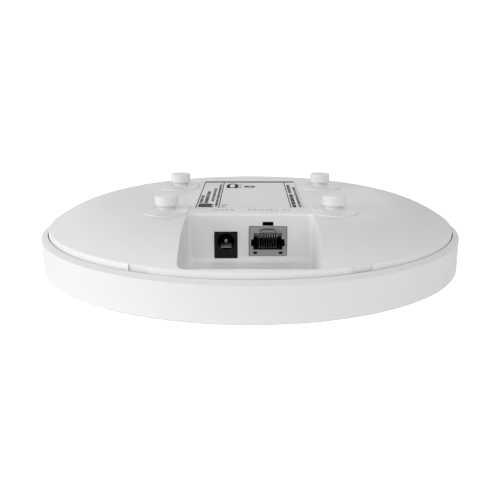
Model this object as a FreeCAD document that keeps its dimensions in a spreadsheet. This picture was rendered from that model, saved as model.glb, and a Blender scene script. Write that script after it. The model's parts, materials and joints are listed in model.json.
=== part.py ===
import FreeCAD, Part
import math
import os
import re
import Sketcher

# Round ceiling access point, lying on its front face with its back up.
# +Z points to the ceiling side, the port bay opens towards -Y, and the origin is the centre of
# the flat front face. All sizes are millimetres, kept in the Dims sheet under their own names.

DIMENSIONS = [
    ("over", 1.0, "how far a cutting shape passes the surface it cuts"),
    ("into", 0.5, "how far joined shapes reach into each other"),
    ("sheet_into", 0.2, "the same for thin ribs and hooks"),
    # name, value, meaning
    ("disc_radius", 95.0, "outer radius of the front cover"),
    ("front_wall", 2.2, "thickness of the front face"),
    ("foot_round", 0.8, "rounding between the front face and the side wall"),
    ("rim_z", 14.5, "top of the straight side wall"),
    ("lip_radius", 92.3, "inner edge of the sloping rim band, and inner face of the side wall"),
    ("lip_z", 15.8, "height of the rim band's inner edge"),
    ("rim_round", 20.0, "crown radius of the rim band"),
    ("edge_radius", 91.9, "outer radius of the rear cover"),
    ("edge_round", 1.5, "rounding at the rear cover's edge"),
    ("skirt_z", 10.0, "lower end of the rear cover's skirt"),
    ("plateau_z", 28.2, "flat back of the rear cover"),
    ("plateau_radius", 60.0, "where the flat back starts to curve down"),
    ("shoulder_radius", 54.5, "radius of the curved shoulder"),
    ("rear_wall", 2.0, "wall thickness of the rear cover"),
    ("envelope_z", 3.0, "lowest level that the rear cover may reach"),
    ("rib_inner", 88.6, "inner end of the ribs that carry the skirt"),
    ("rib_top", 9.8, "top of those ribs"),
    ("rib_thick", 1.4, "thickness of those ribs"),
    ("catch_inner", 90.9, "inner face of the snap catches"),
    ("catch_low", 6.4, "underside of the snap catches"),
    ("catch_high", 8.2, "top of the snap catches"),
    ("catch_width", 8.0, "width of a snap catch"),
    ("hook_inner", 88.9, "inner face of a snap hook"),
    ("hook_outer", 90.3, "outer face of a snap hook's arm"),
    ("hook_nose", 91.7, "tip of a snap hook's nose"),
    ("hook_low", 4.6, "lower end of a snap hook"),
    ("hook_nose_top", 6.1, "top of a snap hook's nose"),
    ("hook_root", 14.0, "top of a snap hook's root"),
    ("hook_width", 7.0, "width of a snap hook"),
    ("notch_width", 8.6, "width of a pry notch"),
    ("notch_inner", 91.2, "back wall of a pry notch"),
    ("notch_low", 13.4, "floor of a pry notch"),
    ("bay_half", 26.0, "half width of the port bay"),
    ("bay_y", 39.0, "distance of the port wall in front of the centre"),
    ("bay_floor", 7.5, "floor of the port bay"),
    ("bay_flat_y", 56.0, "where the bay floor starts to ramp up"),
    ("bay_border_y", 90.0, "where the ramp reaches the shoulder"),
    ("bay_border_z", 19.06, "height of the ramp there"),
    ("bay_round", 2.5, "rounding inside the bay"),
    ("bay_bend", 18.0, "radius between the bay floor and the ramp"),
    ("bay_lip", 1.2, "rounding of the port wall's upper edge"),
    ("stud_x", 35.5, "half the stud spacing along X"),
    ("stud_y", 31.0, "half the stud spacing along Y"),
    ("stud_head", 4.9, "radius of a stud's head"),
    ("stud_neck", 3.6, "radius of a stud's neck"),
    ("stud_neck_z", 30.4, "underside of a stud's head"),
    ("stud_top_z", 34.6, "top of a stud"),
    ("screw_room", 0.6, "room left beyond a screw's tip"),
    ("stud_round", 0.35, "rounding of a stud's head"),
    ("stud_bore", 1.5, "radius of the screw hole in a stud"),
    ("stud_bore_z", 31.8, "end of that hole"),
    ("pad_half", 9.3, "half width of the raised pad round a stud"),
    ("pad_reach", 15.0, "half length of that pad"),
    ("pad_rise", 0.5, "height of that pad"),
    ("stud_boss", 5.0, "radius of the boss behind a stud"),
    ("stud_boss_z", 23.2, "lower end of that boss"),
    ("screw_hole", 1.65, "clearance radius for an M3 screw"),
    ("screw_shank", 1.4, "radius of an M3 screw's core"),
    ("screw_head", 2.8, "radius of a screw's head"),
    ("screw_head_thick", 2.0, "thickness of a screw's head"),
    ("screw_slot", 0.9, "width of the cross recess"),
    ("screw_slot_reach", 1.6, "half length of the cross in a screw's head"),
    ("screw_slot_deep", 1.1, "depth of the cross recess"),
    ("board_low", 7.6, "front side of the main board"),
    ("board_high", 9.2, "rear side of the main board"),
    ("board_radius", 78.0, "radius of the main board"),
    ("board_cut_half", 28.8, "half width of the board's cut-out round the bay"),
    ("rj_foot_y", 36.0, "front of the network port's foot, behind that cut-out's edge"),
    ("board_cut_y", 36.4, "depth of that cut-out"),
    ("boss_x", 56.0, "half the spacing of the board screws along X"),
    ("boss_y", 38.0, "half the spacing of the board screws along Y"),
    ("boss_radius", 3.6, "radius of the board bosses"),
    ("boss_bore", 1.5, "radius of the hole in a board boss"),
    ("boss_bore_z", 23.0, "end of that hole"),
    ("board_screw_end", 21.0, "tip of a board screw"),
    ("spreader_low", 13.4, "underside of the heat spreader"),
    ("spreader_high", 14.9, "top of the heat spreader"),
    ("spreader_radius", 72.0, "radius of the heat spreader"),
    ("spreader_cut_half", 31.0, "half width of its cut-out for the connectors"),
    ("spreader_cut_y", 2.0, "depth of that cut-out"),
    ("spreader_front_y", 44.0, "straight front edge of the heat spreader"),
    ("spacer_radius", 3.0, "radius of a board spacer"),
    ("dc_x", -10.2, "middle of the power inlet"),
    ("dc_half", 4.7, "half width of the power inlet"),
    ("dc_top", 20.3, "top of the power inlet"),
    ("dc_back_y", 25.4, "back of the power inlet"),
    ("dc_axis_z", 16.2, "height of the inlet's axis"),
    ("dc_bore", 3.5, "radius of the inlet's socket"),
    ("dc_bore_end_y", 28.6, "bottom of the socket"),
    ("dc_chamfer", 0.45, "chamfer at the socket's mouth"),
    ("dc_pin", 1.0, "radius of the centre pin"),
    ("dc_pin_y", 37.8, "tip of the centre pin"),
    ("leaf_half", 2.3, "half width of the leaf contact"),
    ("leaf_thick", 0.35, "thickness of the leaf contact"),
    ("leaf_slot_half", 2.6, "half width of the slot under the leaf"),
    ("leaf_slot_z", 11.8, "bottom of that slot"),
    ("leaf_slot_y", 38.2, "front end of that slot"),
    ("leaf_back_y", 29.0, "fixed end of the leaf"),
    ("leaf_back_z", 12.9, "height of the fixed end"),
    ("leaf_crest_back_y", 35.0, "where the leaf's crest starts"),
    ("leaf_crest_front_y", 36.0, "where the leaf's crest ends"),
    ("leaf_crest_z", 14.3, "height of the crest's ends"),
    ("leaf_front_y", 37.5, "free end of the leaf"),
    ("leaf_front_z", 13.2, "height of the free end"),
    ("leaf_bend", 1.0, "inner radius of the crest"),
    ("jack_front_y", 39.4, "front faces of both connectors"),
    ("window_gap", 0.2, "gap round a connector in its window"),
    ("rj_x", 7.4, "middle of the network port"),
    ("rj_half", 7.8, "half width of the network port's shield"),
    ("rj_low", 10.3, "lower edge of the shield"),
    ("rj_top", 22.6, "top of the shield"),
    ("rj_back_y", 23.4, "back of the shield"),
    ("rj_sheet", 0.3, "thickness of the shield's sheet"),
    ("rj_fit", 0.1, "gap between the shield and the insert"),
    ("plug_half", 6.15, "half width of the plug opening"),
    ("plug_low", 12.8, "floor of the plug opening"),
    ("plug_high", 19.9, "roof of the plug opening"),
    ("plug_back_y", 28.4, "back of the plug opening"),
    ("step_half", 3.4, "half width of the latch step"),
    ("step_high", 21.4, "roof of the latch step"),
    ("key_half", 2.2, "half width of the latch key"),
    ("key_high", 22.0, "roof of the latch key"),
    ("side_half", 7.05, "half width across the side springs"),
    ("side_low", 14.3, "lower end of the side spring windows"),
    ("side_high", 17.3, "upper end of the side spring windows"),
    ("finger_slot_half", 2.3, "half width of the finger slot over the network port"),
    ("finger_slot_top", 24.7, "top of the finger slot in the port wall"),
    ("contact_pitch", 1.016, "distance from one network contact to the next"),
    ("contact_width", 0.36, "width of a network contact"),
    ("contact_thick", 0.3, "thickness of a network contact"),
    ("rj_lap", 0.1, "how far the port's rooms reach into each other"),
    ("step_short", 2.0, "how much shorter the step room is than the plug room"),
    ("key_short", 5.0, "how much shorter the latch room is"),
    ("side_short", 4.5, "how much shorter the side rooms are"),
    ("front_room", 7.0, "depth of the opening cut through the shield's front"),
    ("contact_front_y", 37.6, "front end of a network contact"),
    ("contact_heel_y", 37.2, "where a contact starts to rise"),
    ("contact_skew", 0.1, "how far the top of a contact's bend lies before its underside"),
    ("contact_front_z", 13.05, "underside of a contact's front end"),
    ("contact_back_y", 29.4, "rear end of a network contact"),
    ("contact_back_z", 16.5, "underside of its rear end"),
    ("test_hole_reach", 5.35, "distance of the shield's two small holes from its middle"),
    ("test_hole_half", 0.8, "half width of those holes"),
    ("test_hole_low", 10.9, "lower edge of those holes"),
    ("test_hole_high", 12.0, "upper edge of those holes"),
    ("comb_front_y", 31.0, "front of the comb that guides the contacts"),
    ("comb_high", 18.6, "top of the comb"),
    ("comb_rib", 0.4, "thickness of a comb rib"),
    ("led_hole", 2.6, "radius of the hole for the light guide"),
    ("guide_radius", 2.5, "radius of the light guide"),
    ("guide_flange", 4.2, "radius of the light guide's flange"),
    ("guide_gap", 0.05, "gap under the light guide's flange"),
    ("guide_flange_thick", 0.9, "thickness of that flange"),
    ("guide_top", 6.2, "upper end of the light guide"),
    ("led_low", 6.7, "face of the status light"),
    ("reset_x", 32.0, "front of the reset switch, left of the centre"),
    ("reset_y", 52.0, "reset switch, in front of the centre"),
    ("reset_z", 13.6, "height of the reset plunger"),
    ("reset_depth", 4.0, "depth of the reset switch"),
    ("reset_half", 3.1, "half width of the reset switch"),
    ("reset_top", 16.4, "top of the reset switch"),
    ("plunger_radius", 0.94, "radius of the reset plunger"),
    ("plunger_hole", 1.0, "radius of its hole"),
    ("plunger_flange", 1.5, "radius of its flange"),
    ("plunger_flange_thick", 0.7, "thickness of its flange"),
    ("plunger_room", 1.8, "radius of the chamber for the flange"),
    ("plunger_room_depth", 1.3, "depth of that chamber"),
    ("plunger_wall", 0.6, "wall between the chamber and the switch's front"),
    ("plunger_slack", 0.05, "gap between the flange and that wall"),
    ("plunger_out", 3.1, "how far the plunger stands out of its switch"),
    ("pin_hole", 1.0, "radius of the reset hole in the bay wall"),
    ("label_left", -24.0, "left edge of the label"),
    ("label_right", 23.8, "right edge of the label"),
    ("label_near", -27.4, "near edge of the label"),
    ("label_far", 44.5, "far edge of the label"),
    ("label_round", 2.0, "corner radius of the label"),
    ("label_thick", 0.15, "thickness of the label"),
    ("can_wall", 0.25, "sheet thickness of a shielding can"),
    ("can_high", 12.2, "top of a shielding can"),
    ("chip_high", 10.6, "top of a chip"),
    ("antenna_low", 3.2, "lower face of the antennas"),
    ("antenna_sheet", 0.4, "sheet thickness of the antennas"),
    ("antenna_inner", 66.0, "inner edge of the antennas, from the centre"),
    ("antenna_outer", 72.0, "outer edge of the antennas"),
    ("antenna_leg", 1.6, "width of an antenna's leg"),
    ("antenna_leg_gap", 5.0, "distance between an antenna's two legs"),
    ("capacitor_radius", 4.0, "radius of a bulk capacitor"),
    ("capacitor_rise", 11.5, "height of a bulk capacitor"),
    ("memory_rise", 1.0, "height of the memory and flash chips"),
    ("magnetics_rise", 6.2, "height of the network transformer"),
    ("core_rise", 10.5, "height of the power transformer"),
    ("core_inset", 1.0, "how far the winding stands back from the ferrite ends' faces"),
    ("core_end", 3.0, "thickness of its ferrite ends"),
    ("pad_margin", 2.0, "how far a thermal pad on a can passes its chip"),
]

STUD_CORNERS = [(-1, -1), (1, -1), (1, 1), (-1, 1)]
HOOK_COUNT = 6
RIB_COUNT = 12
NOTCH_TURN = 26.0
CONTACT_COUNT = 8
UP = FreeCAD.Vector(0, 0, 1)
NEAR = 0.01
SHORT_EDGE = 3.0

# can, chip, centre x, centre y, can width, can length, chip size
SHIELDED_SECTIONS = [
    ("processor_can", "processor_chip", 0, 22, 38, 34, 17),
    ("radio_can_2g", "radio_chip_2g", -42, 8, 28, 24, 10),
    ("radio_can_5g", "radio_chip_5g", 42, 8, 28, 24, 12),
]
# node, centre x, centre y, width, length, underside, top
BOARD_BLOCKS = [
    ("memory_chip", -13.8, 30, 9, 12, "board_high", "board_high + memory_rise"),
    ("flash_chip", 12.5, 33, 6, 8, "board_high", "board_high + memory_rise"),
    ("network_transformer", 3, -14, 15, 11, "board_high", "board_high + magnetics_rise"),
    ("status_led", 0, 0, 3.2, 2.4, "led_low", "board_low"),
]
# centre x, centre y, width, length
POWER_CORE_PLACE = (21.5, -13, 14.5, 15.0)
CAPACITOR_PLACES = [(-22.0, -26.5), (-22.0, -16.5), (23.5, -28.0)]
# node, angle on the board, length along the edge
ANTENNA_PLACES = [
    ("antenna_2g_left", 168.0, 30.0),
    ("antenna_2g_right", 12.0, 30.0),
    ("antenna_5g_left", 118.0, 16.0),
    ("antenna_5g_right", 62.0, 16.0),
]

doc = FreeCAD.newDocument("CeilingAccessPoint")
sheet = doc.addObject("Spreadsheet::Sheet", "Dims")
for row, (alias, number, meaning) in enumerate(DIMENSIONS, start=1):
    sheet.set("A%d" % row, meaning)
    sheet.set("B%d" % row, str(number))
    sheet.setAlias("B%d" % row, alias)
doc.recompute()

ALIASES = {alias for alias, number, meaning in DIMENSIONS}
nodes = {}


def linked(text):
    """An expression in which every dimension name points at its cell in the sheet."""
    return re.sub(r"[a-z_]+", lambda word: "Dims." + word[0] if word[0] in ALIASES else word[0], str(text))


def number_of(text):
    """The value of an expression of dimension names."""
    return float(sheet.evalExpression(linked(text)))


def bind(item, **properties):
    """Bind properties of a document object to expressions of dimension names."""
    for name, text in properties.items():
        item.setExpression(name.replace("__", "."), linked(text))


def place(item, x="0", y="0", z="0"):
    """Bind an object's position."""
    bind(item, Placement__Base__x=x, Placement__Base__y=y, Placement__Base__z=z)


def node(label, item):
    """Register a finished sub-part under its own label."""
    item.Label = label
    nodes[label] = item
    return item


# ---------------------------------------------------------------- solids from primitives

def box(name, low, high):
    """A box between two corners, each given as three expressions."""
    item = doc.addObject("Part::Box", name)
    sides = ["(%s) - (%s)" % (top, bottom) for bottom, top in zip(low, high)]
    bind(item, Length=sides[0], Width=sides[1], Height=sides[2])
    place(item, *low)
    return item


def cylinder(name, radius, low, height, axis="z"):
    """A cylinder that starts at a point and runs along +X, +Y or +Z."""
    item = doc.addObject("Part::Cylinder", name)
    turns = {
        "x": FreeCAD.Rotation(FreeCAD.Vector(0, 1, 0), 90),
        "y": FreeCAD.Rotation(FreeCAD.Vector(1, 0, 0), -90),
        "z": FreeCAD.Rotation(),
    }
    item.Placement = FreeCAD.Placement(FreeCAD.Vector(), turns[axis])
    bind(item, Radius=radius, Height=height)
    place(item, *low)
    return item


def fused(name, parts):
    """The union of several solids."""
    item = doc.addObject("Part::MultiFuse", name)
    item.Shapes = parts
    item.Refine = True
    return item


def cut(name, base, tools):
    """A solid less one or more others."""
    tool = tools[0] if len(tools) == 1 else fused(name + "_tools", tools)
    item = doc.addObject("Part::Cut", name)
    item.Base = base
    item.Tool = tool
    item.Refine = True
    return item


def group(label, parts):
    """Identical pieces that share one node and stay separate solids."""
    item = doc.addObject("Part::Compound", label)
    item.Links = parts
    return node(label, item)


def turned_box(name, low, high, degrees):
    """A box turned about the Z axis through the centre."""
    item = box(name + "_flat", low, high)
    carrier = doc.addObject("Part::Compound", name)
    carrier.Links = [item]
    carrier.Placement = FreeCAD.Placement(FreeCAD.Vector(), FreeCAD.Rotation(UP, degrees))
    return carrier


# ---------------------------------------------------------------- bodies from sketches

def body_of(label):
    """A new PartDesign body."""
    item = doc.addObject("PartDesign::Body", label)
    item.Label = label
    return item


def sketch_on(body, name, role, offset="0"):
    """A sketch on one of the body's own origin planes, moved along the plane's normal."""
    item = body.newObject("Sketcher::SketchObject", name)
    support = next(feature for feature in body.Origin.OriginFeatures if feature.Role == role)
    item.AttachmentSupport = [(support, "")]
    item.MapMode = "FlatFace"
    bind(item, AttachmentOffset__Base__z=offset)
    return item


def arc_between(start, end, radius, bulge, large):
    """An arc of a circle from start to end. A positive bulge turns left on the way."""
    chord = math.hypot(end[0] - start[0], end[1] - start[1])
    rise = math.sqrt(max(radius * radius - chord * chord / 4, 0.0))
    side = bulge if not large else -bulge
    middle = ((start[0] + end[0]) / 2, (start[1] + end[1]) / 2)
    normal = (-(end[1] - start[1]) / chord * side, (end[0] - start[0]) / chord * side)
    centre = FreeCAD.Vector(middle[0] + normal[0] * rise, middle[1] + normal[1] * rise, 0)
    angles = [math.atan2(point[1] - centre.y, point[0] - centre.x) for point in (start, end)]
    if bulge < 0:
        angles.reverse()
    if angles[1] <= angles[0]:
        angles[1] += 2 * math.pi
    circle = Part.Circle(centre, FreeCAD.Vector(0, 0, 1), radius)
    return Part.ArcOfCircle(circle, angles[0], angles[1])


def outline(sketch, start, steps):
    """A closed outline of lines and arcs, fully constrained to expressions.

    A step is (x, y) for a line or (x, y, radius, bulge[, "large"]) for an arc.
    The last step ends at the start point.
    """
    def value(point):
        return (number_of(point[0]), number_of(point[1]))

    def fix(kind, geometry, end, text):
        name = "%s_%d_%d" % (kind.lower(), geometry, end)
        index = sketch.addConstraint(Sketcher.Constraint(kind, -1, 1, geometry, end, number_of(text)))
        sketch.renameConstraint(index, name)
        sketch.setExpression(".Constraints." + name, linked(text))

    first = None
    last = start
    joints = []
    for step in steps:
        here, there = value(last), value(step[:2])
        if len(step) == 2:
            near, far = FreeCAD.Vector(here[0], here[1], 0), FreeCAD.Vector(there[0], there[1], 0)
            index = sketch.addGeometry(Part.LineSegment(near, far))
            ends = (1, 2)
        else:
            bulge = step[3]
            radius = number_of(step[2])
            index = sketch.addGeometry(arc_between(here, there, radius, bulge, len(step) == 5))
            ends = (1, 2) if bulge > 0 else (2, 1)
            mark = sketch.addConstraint(Sketcher.Constraint("Radius", index, radius))
            sketch.renameConstraint(mark, "radius_%d" % index)
            sketch.setExpression(".Constraints.radius_%d" % index, linked(step[2]))
        fix("DistanceX", index, ends[1], step[0])
        fix("DistanceY", index, ends[1], step[1])
        joints.append((index, ends))
        last = step[:2]
        first = index if first is None else first
    for (index, ends), (following, next_ends) in zip(joints, joints[1:] + joints[:1]):
        sketch.addConstraint(Sketcher.Constraint("Coincident", index, ends[1], following, next_ends[0]))
    return sketch


def circle_at(sketch, x, y, radius):
    """A full circle, constrained to expressions."""
    centre = FreeCAD.Vector(number_of(x), number_of(y), 0)
    index = sketch.addGeometry(Part.Circle(centre, FreeCAD.Vector(0, 0, 1), number_of(radius)))
    for kind, text in (("DistanceX", x), ("DistanceY", y)):
        mark = sketch.addConstraint(Sketcher.Constraint(kind, -1, 1, index, 3, number_of(text)))
        name = "%s_circle_%d" % (kind.lower(), index)
        sketch.renameConstraint(mark, name)
        sketch.setExpression(".Constraints." + name, linked(text))
    mark = sketch.addConstraint(Sketcher.Constraint("Radius", index, number_of(radius)))
    sketch.renameConstraint(mark, "radius_%d" % index)
    sketch.setExpression(".Constraints.radius_%d" % index, linked(radius))


def turned(label, start, steps):
    """A body turned about its Z axis from a profile of (radius, height) points."""
    body = body_of(label)
    sketch = outline(sketch_on(body, label + "_profile", "XZ_Plane"), start, steps)
    feature = body.newObject("PartDesign::Revolution", label + "_turn")
    feature.Profile = sketch
    feature.ReferenceAxis = (sketch, ["V_Axis"])
    feature.Angle = 360
    body.Tip = feature
    return body


def padded(label, start, steps, low, thick, holes=()):
    """A flat body: an outline at height low, with round holes, made thick along +Z."""
    body = body_of(label)
    sketch = outline(sketch_on(body, label + "_outline", "XY_Plane", low), start, steps)
    for hole in holes:
        circle_at(sketch, *hole)
    feature = body.newObject("PartDesign::Pad", label + "_pad")
    feature.Profile = sketch
    bind(feature, Length=thick)
    body.Tip = feature
    return body


def edges_where(shape, test):
    """Names of the edges whose middle point passes a test."""
    chosen = []
    for index, edge in enumerate(shape.Edges, start=1):
        middle = edge.valueAt((edge.FirstParameter + edge.LastParameter) / 2)
        if test(middle, edge):
            chosen.append("Edge%d" % index)
    return chosen


def rounded(body, name, radius, test):
    """Round the chosen edges of a body's current tip."""
    doc.recompute()
    base = body.Tip
    feature = body.newObject("PartDesign::Fillet", name)
    feature.Base = (base, edges_where(base.Shape, test))
    bind(feature, Radius=radius)
    body.Tip = feature
    return feature


# ---------------------------------------------------------------- screws

def screw(name, x, y, head_z, tip_z):
    """A pan-head screw that points up, with a cross recess in its head."""
    head_low = "(%s) - screw_head_thick" % head_z
    head = cylinder(name + "_head", "screw_head", (x, y, head_low), "screw_head_thick")
    shank = cylinder(name + "_shank", "screw_shank", (x, y, head_z), "(%s) - (%s)" % (tip_z, head_z))
    recess_top = "(%s) + screw_slot_deep" % head_low
    slots = []
    arms = [("screw_slot_reach", "screw_slot/2"), ("screw_slot/2", "screw_slot_reach")]
    for number, (reach_x, reach_y) in enumerate(arms):
        low = ("(%s) - (%s)" % (x, reach_x), "(%s) - (%s)" % (y, reach_y), "(%s) - over" % head_low)
        high = ("(%s) + (%s)" % (x, reach_x), "(%s) + (%s)" % (y, reach_y), recess_top)
        slots.append(box("%s_slot_%d" % (name, number), low, high))
    return cut(name, fused(name + "_blank", [head, shank]), slots)


# ---------------------------------------------------------------- front cover

def make_front_cover():
    """The round tray that faces the room: face, side wall, rim band, ribs and snap catches."""
    body = turned(
        "front_cover",
        ("led_hole", "0"),
        [
            ("disc_radius - foot_round", "0"),
            ("disc_radius", "foot_round", "foot_round", 1),
            ("disc_radius", "rim_z"),
            ("lip_radius", "lip_z", "rim_round", 1),
            ("lip_radius", "front_wall"),
            ("led_hole", "front_wall"),
            ("led_hole", "0"),
        ],
    )
    spread = [
        ("rib", RIB_COUNT, 360.0 / RIB_COUNT / 2, "rib_inner", "rib_thick/2",
         "front_wall - sheet_into", "rib_top"),
        ("catch", HOOK_COUNT, 0.0, "catch_inner", "catch_width/2",
         "catch_low", "catch_high"),
    ]
    for name, count, turn, inner, half, low, high in spread:
        sketch = sketch_on(body, name + "_outline", "XY_Plane", low)
        sketch.AttachmentOffset = FreeCAD.Placement(
            FreeCAD.Vector(), FreeCAD.Rotation(UP, turn))
        bind(sketch, AttachmentOffset__Base__z=low)
        outer = "lip_radius + 2 * sheet_into"
        lower, upper = "-(%s)" % half, half
        outline(sketch, (inner, lower), [(outer, lower), (outer, upper), (inner, upper), (inner, lower)])
        pad = body.newObject("PartDesign::Pad", name)
        pad.Profile = sketch
        bind(pad, Length="(%s) - (%s)" % (high, low))
        doc.recompute()
        ring = body.newObject("PartDesign::PolarPattern", name + "_ring")
        ring.Originals = [pad]
        ring.Axis = (sketch, ["N_Axis"])
        ring.Angle = 360
        ring.Occurrences = count
        body.Tip = ring
        doc.recompute()
    node("front_cover", body)


def make_light_guide():
    """The clear guide that carries the status light to the front face."""
    flange_low = "front_wall + guide_gap"
    flange_top = flange_low + " + guide_flange_thick"
    body = turned(
        "light_guide",
        ("0", "0"),
        [
            ("guide_radius", "0"),
            ("guide_radius", flange_low),
            ("guide_flange", flange_low),
            ("guide_flange", flange_top),
            ("guide_radius", flange_top),
            ("guide_radius", "guide_top"),
            ("0", "guide_top"),
            ("0", "0"),
        ],
    )
    node("light_guide", body)


# ---------------------------------------------------------------- rear cover

SHOULDER_Z = "(plateau_z - shoulder_radius)"
BLEND_REACH = "(edge_radius - edge_round - plateau_radius)"
BLEND_RISE = "sqrt((shoulder_radius - edge_round)^2 - %s^2)" % BLEND_REACH
BLEND_SCALE = "(shoulder_radius / (shoulder_radius - edge_round))"
RAMP = "((bay_border_z - bay_floor) / (bay_border_y - bay_flat_y))"


def make_rear_cover():
    """The domed back with its port bay, stud pads, bosses, hooks, notches and windows."""
    envelope = turned(
        "rear_envelope",
        ("0", "envelope_z"),
        [
            ("edge_radius", "envelope_z"),
            ("edge_radius", "%s + %s" % (SHOULDER_Z, BLEND_RISE)),
            (
                "plateau_radius + %s * %s" % (BLEND_REACH, BLEND_SCALE),
                "%s + %s * %s" % (SHOULDER_Z, BLEND_RISE, BLEND_SCALE),
                "edge_round",
                1,
            ),
            ("plateau_radius", "plateau_z", "shoulder_radius", 1),
            ("0", "plateau_z"),
            ("0", "envelope_z"),
        ],
    )
    inner_radius = "shoulder_radius - rear_wall"
    inner_edge = "edge_radius - rear_wall"
    inner_rise = "sqrt((%s)^2 - (%s - plateau_radius)^2)" % (inner_radius, inner_edge)
    hollow = turned(
        "rear_hollow",
        ("0", "envelope_z - over"),
        [
            ("disc_radius + over", "envelope_z - over"),
            ("disc_radius + over", "skirt_z"),
            (inner_edge, "skirt_z"),
            (inner_edge, "%s + %s" % (SHOULDER_Z, inner_rise)),
            ("plateau_radius", "plateau_z - rear_wall", inner_radius, 1),
            ("0", "plateau_z - rear_wall"),
            ("0", "envelope_z - over"),
        ],
    )
    shell = cut("rear_shell", envelope, [hollow])
    bay_walls = doc.addObject("Part::Common", "bay_walls")
    bay_walls.Base = envelope
    bay_walls.Tool = make_bay_block()

    raised = [shell, bay_walls, make_stud_pads()]
    hollows = [make_bay_hollow()]
    for number, (side_x, side_y) in enumerate(STUD_CORNERS):
        x, y = "stud_x * %d" % side_x, "stud_y * %d" % side_y
        raised.append(cylinder("stud_boss_%d" % number, "stud_boss", (x, y, "stud_boss_z"),
                               "plateau_z - stud_boss_z - into"))
        hollows.append(cylinder("stud_hole_%d" % number, "screw_hole", (x, y, "stud_boss_z - over"),
                                "plateau_z - stud_boss_z + 3 * over"))
        x, y = "boss_x * %d" % side_x, "boss_y * %d" % side_y
        raised.append(cylinder("board_boss_%d" % number, "boss_radius", (x, y, "spreader_high"),
                               "plateau_z - spreader_high - 3 * into"))
        hollows.append(cylinder("board_hole_%d" % number, "boss_bore", (x, y, "spreader_high - over"),
                                "boss_bore_z - spreader_high + over"))
    for number in range(HOOK_COUNT):
        turn = number * 360.0 / HOOK_COUNT
        name = "hook_%d" % number
        half = "hook_width/2"
        raised.append(turned_box(name + "_arm", ("hook_inner", "-" + half, "hook_low"),
                                 ("hook_outer", half, "hook_root"), turn))
        raised.append(turned_box(name + "_nose", ("hook_outer - sheet_into", "-" + half, "hook_low"),
                                 ("hook_nose", half, "hook_nose_top"), turn))
        raised.append(turned_box(name + "_root", ("hook_outer - sheet_into", "-" + half, "skirt_z"),
                                 ("edge_radius - into", half, "hook_root"), turn))
    for side in (-1, 1):
        low = ("notch_inner", "-notch_width/2", "notch_low")
        high = ("disc_radius", "notch_width/2", "plateau_z")
        hollows.append(turned_box("pry_notch_%s" % ("left" if side < 0 else "right"), low, high,
                                  -90 + side * NOTCH_TURN))
    through_y = ("-bay_y - over", "-bay_y + rear_wall + over")
    windows = [
        ("dc_window", "dc_x - dc_half - window_gap", "dc_x + dc_half + window_gap",
         "board_high - window_gap", "dc_top + window_gap"),
        ("rj_window", "rj_x - rj_half - window_gap", "rj_x + rj_half + window_gap",
         "rj_low - window_gap", "rj_top + window_gap"),
        ("finger_slot", "rj_x - finger_slot_half", "rj_x + finger_slot_half",
         "rj_top - over", "finger_slot_top"),
    ]
    for name, left, right, low, high in windows:
        hollows.append(box(name, (left, through_y[0], low), (right, through_y[1], high)))
    reset_low = ("-bay_half - rear_wall - over", "-reset_y", "reset_z")
    hollows.append(cylinder("reset_hole", "pin_hole", reset_low, "rear_wall + 2 * over", axis="x"))
    node("rear_cover", cut("rear_cover", fused("rear_raised", raised), hollows))


def make_bay_block():
    """The solid that the walls and floor of the port bay are left from."""
    body = body_of("bay_block")
    sketch = sketch_on(body, "bay_block_profile", "YZ_Plane", "-bay_half - rear_wall")
    under = "bay_floor - rear_wall"
    outline(
        sketch,
        ("-bay_y + rear_wall", under),
        [
            ("-bay_y + rear_wall", "plateau_z"),
            ("-disc_radius", "plateau_z"),
            ("-disc_radius", "%s + (disc_radius - bay_flat_y) * %s" % (under, RAMP)),
            ("-bay_flat_y", under),
            ("-bay_y + rear_wall", under),
        ],
    )
    pad = body.newObject("PartDesign::Pad", "bay_block_pad")
    pad.Profile = sketch
    bind(pad, Length="2 * (bay_half + rear_wall)")
    body.Tip = pad
    return body


def make_bay_hollow():
    """The space of the port bay: a flat floor, a ramp up to the shoulder and rounded corners."""
    body = body_of("bay_hollow")
    sketch = sketch_on(body, "bay_hollow_profile", "YZ_Plane", "-bay_half")
    above = "plateau_z + 12"
    outline(
        sketch,
        ("-bay_y", "bay_floor"),
        [
            ("-bay_y", "plateau_z - bay_lip"),
            ("-bay_y + bay_lip", "plateau_z", "bay_lip", -1),
            ("-bay_y + bay_lip", above),
            ("-disc_radius - 5", above),
            ("-disc_radius - 5", "bay_floor + (disc_radius + 5 - bay_flat_y) * %s" % RAMP),
            ("-bay_flat_y", "bay_floor"),
            ("-bay_y", "bay_floor"),
        ],
    )
    pad = body.newObject("PartDesign::Pad", "bay_hollow_pad")
    pad.Profile = sketch
    bind(pad, Length="2 * bay_half")
    body.Tip = pad
    half = number_of("bay_half")
    wall_y = -number_of("bay_y")
    flat_y = -number_of("bay_flat_y")
    floor = number_of("bay_floor")
    above_back = number_of("plateau_z")

    def at_ramp_foot(point, edge):
        return abs(point.y - flat_y) < NEAR and abs(point.z - floor) < NEAR

    def inside_corner(point, edge):
        at_side = abs(abs(point.x) - half) < NEAR
        at_wall = abs(point.y - wall_y) < NEAR
        low = point.z < above_back - 0.5
        on_floor = at_side and low and point.y < wall_y - NEAR and edge.Length > SHORT_EDGE
        upright = at_side and at_wall
        foot = at_wall and abs(point.z - floor) < NEAR
        return on_floor or upright or foot

    rounded(body, "ramp_bend", "bay_bend", at_ramp_foot)
    rounded(body, "bay_corners", "bay_round", inside_corner)
    return body


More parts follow.
